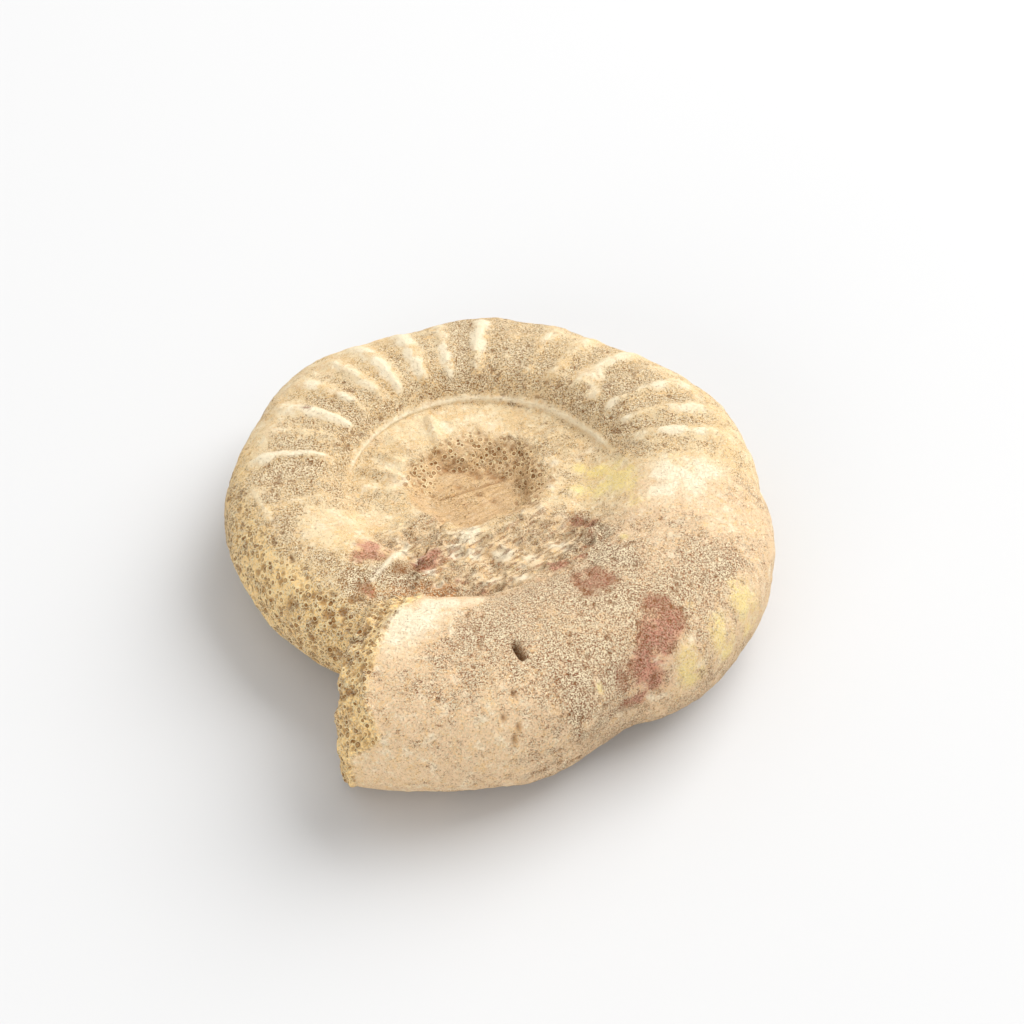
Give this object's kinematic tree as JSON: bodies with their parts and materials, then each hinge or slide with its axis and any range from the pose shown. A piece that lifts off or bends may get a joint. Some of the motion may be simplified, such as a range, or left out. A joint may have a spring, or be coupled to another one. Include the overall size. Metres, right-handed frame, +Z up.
{
  "type": "ammonite fossil",
  "caption": "Flat coiled fossil shell of worn limestone, ribbed on its flanks, with a pit in the middle and a broken end, resting on its side.",
  "frame": {"origin": "on the surface the fossil rests on, under the middle of its box", "axes": "+Z up, within 3 degrees of the axis that the shell coils round. The shell lies on its side, its broken end is 112 degrees clockwise from +X seen from above, and the coil winds counter-clockwise from there in to the middle"},
  "size_m": [0.1002, 0.1104, 0.0278],
  "materials": {
    "limestone": "dry and matt cream limestone, speckled brown in its pores, chalky on the ribs, with red, yellow and grey stains"
  },
  "bodies": {
    "root": {"ammonite": "limestone"}
  },
  "joints": []
}
